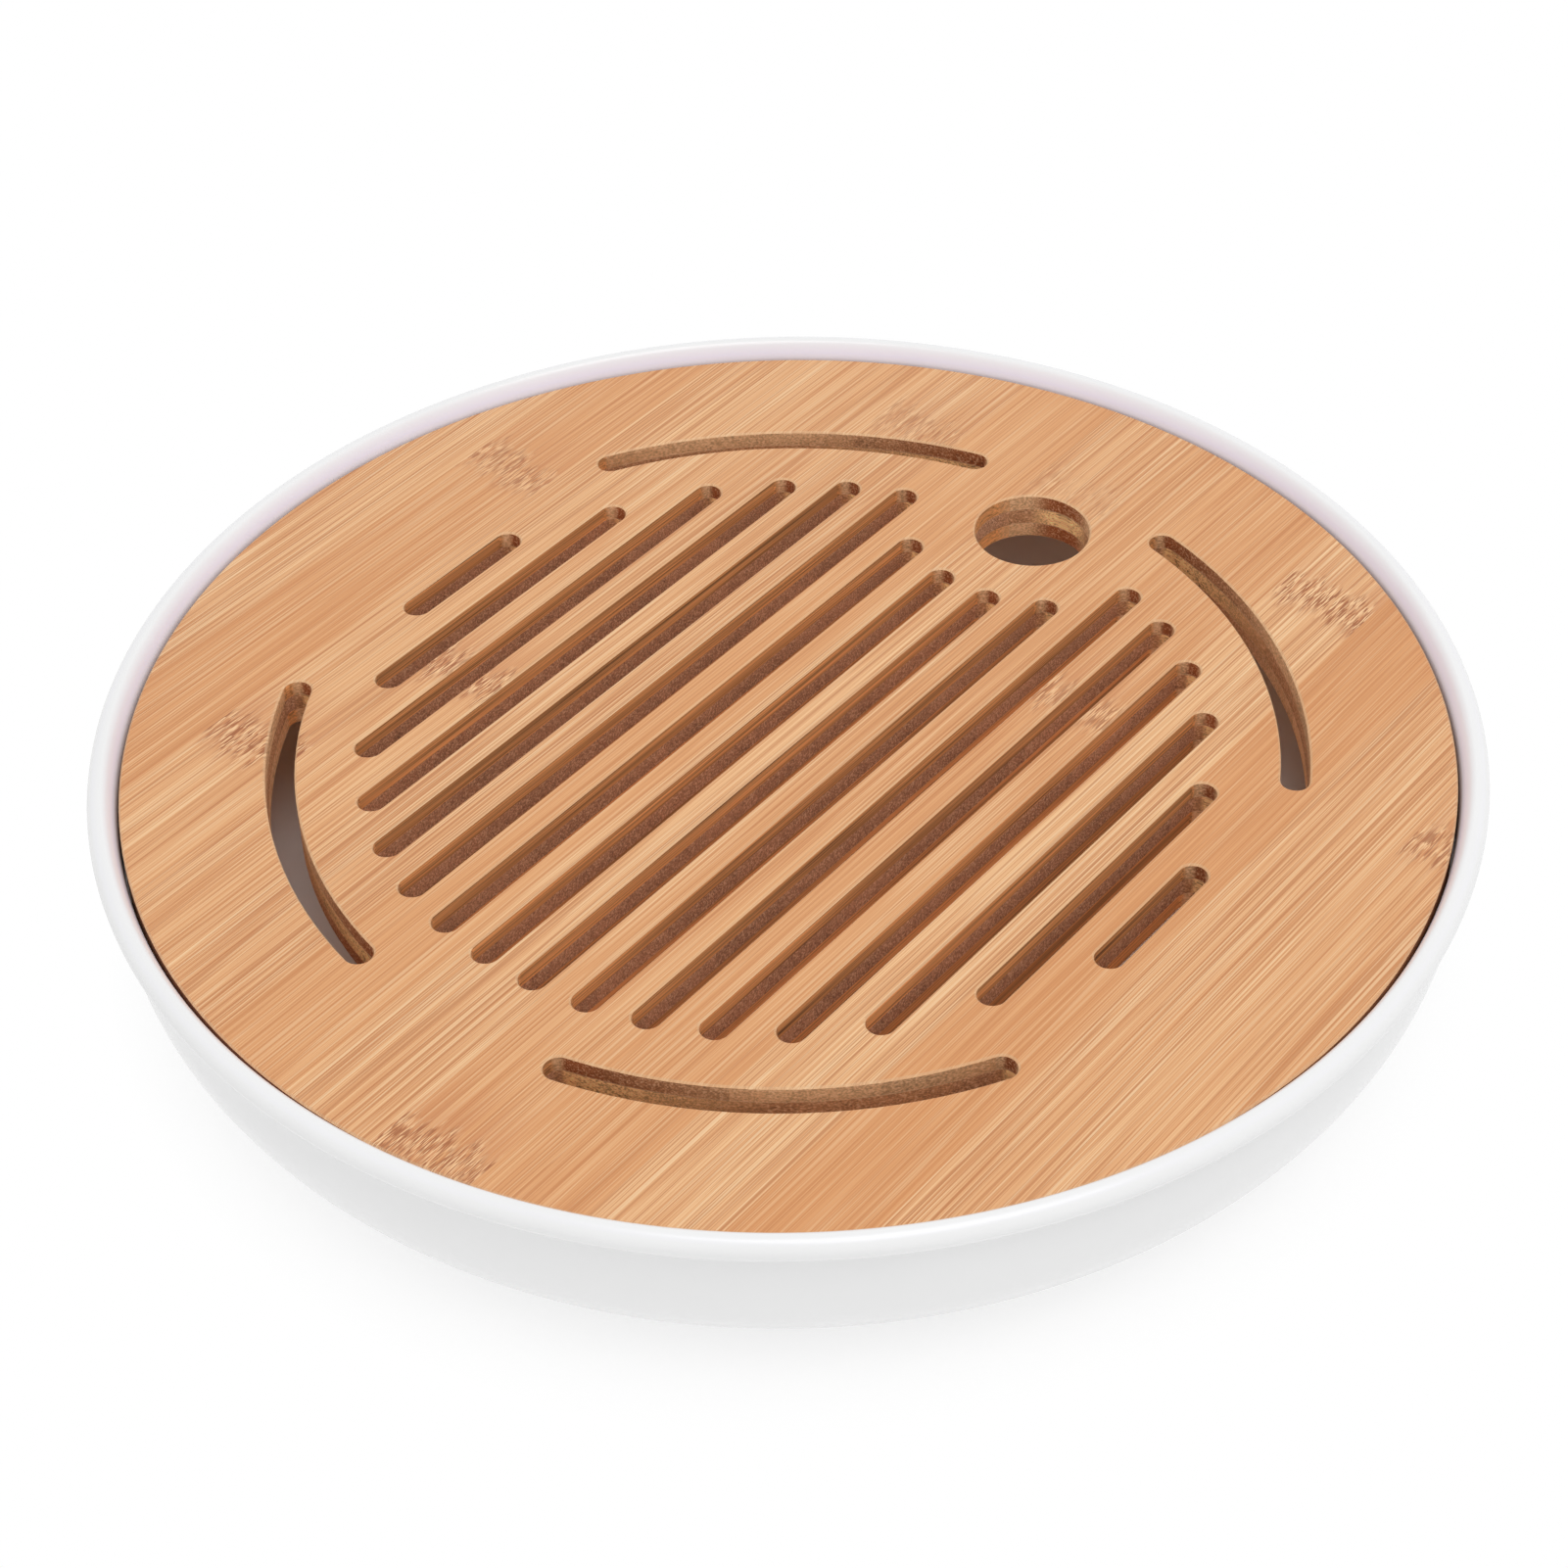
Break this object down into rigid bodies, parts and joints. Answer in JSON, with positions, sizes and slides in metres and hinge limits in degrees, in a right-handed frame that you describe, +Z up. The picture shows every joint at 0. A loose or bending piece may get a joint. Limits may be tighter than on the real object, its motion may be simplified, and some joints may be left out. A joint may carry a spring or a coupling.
{
  "type": "gongfu tea tray",
  "caption": "Round gongfu tea tray: a slotted bamboo board with a finger hole rests on a ledge inside a white basin that catches the drained water.",
  "frame": {"origin": "centre of the foot ring, on the table", "axes": "+Z up; the drain slots run along Y, with the finger hole towards +Y"},
  "size_m": [0.2853, 0.2854, 0.0495],
  "materials": {
    "white_melamine": "gloss",
    "bamboo_face": "satin",
    "bamboo_core": "matte end grain"
  },
  "bodies": {
    "basin": {"basin": "white_melamine"},
    "board": {"top_strip_left_6": "bamboo_face", "top_strip_left_5": "bamboo_face", "top_strip_left_4": "bamboo_face", "top_strip_left_3": "bamboo_face", "top_strip_left_2": "bamboo_face", "top_strip_left_1": "bamboo_face", "top_strip_middle": "bamboo_face", "top_strip_right_1": "bamboo_face", "top_strip_right_2": "bamboo_face", "top_strip_right_3": "bamboo_face", "top_strip_right_4": "bamboo_face", "top_strip_right_5": "bamboo_face", "top_strip_right_6": "bamboo_face", "core_strip_near_6": "bamboo_core", "core_strip_near_5": "bamboo_core", "core_strip_near_4": "bamboo_core", "core_strip_near_3": "bamboo_core", "core_strip_near_2": "bamboo_core", "core_strip_near_1": "bamboo_core", "core_strip_middle": "bamboo_core", "core_strip_far_1": "bamboo_core", "core_strip_far_2": "bamboo_core", "core_strip_far_3": "bamboo_core", "core_strip_far_4": "bamboo_core", "core_strip_far_5": "bamboo_core", "core_strip_far_6": "bamboo_core", "bottom_strip_left_6": "bamboo_face", "bottom_strip_left_5": "bamboo_face", "bottom_strip_left_4": "bamboo_face", "bottom_strip_left_3": "bamboo_face", "bottom_strip_left_2": "bamboo_face", "bottom_strip_left_1": "bamboo_face", "bottom_strip_middle": "bamboo_face", "bottom_strip_right_1": "bamboo_face", "bottom_strip_right_2": "bamboo_face", "bottom_strip_right_3": "bamboo_face", "bottom_strip_right_4": "bamboo_face", "bottom_strip_right_5": "bamboo_face", "bottom_strip_right_6": "bamboo_face"}
  },
  "joints": [
    {"name": "board_lift", "type": "slide", "parent": "basin", "child": "board", "axis": [0, 0, 1], "range_m": [0, 0.06]}
  ]
}
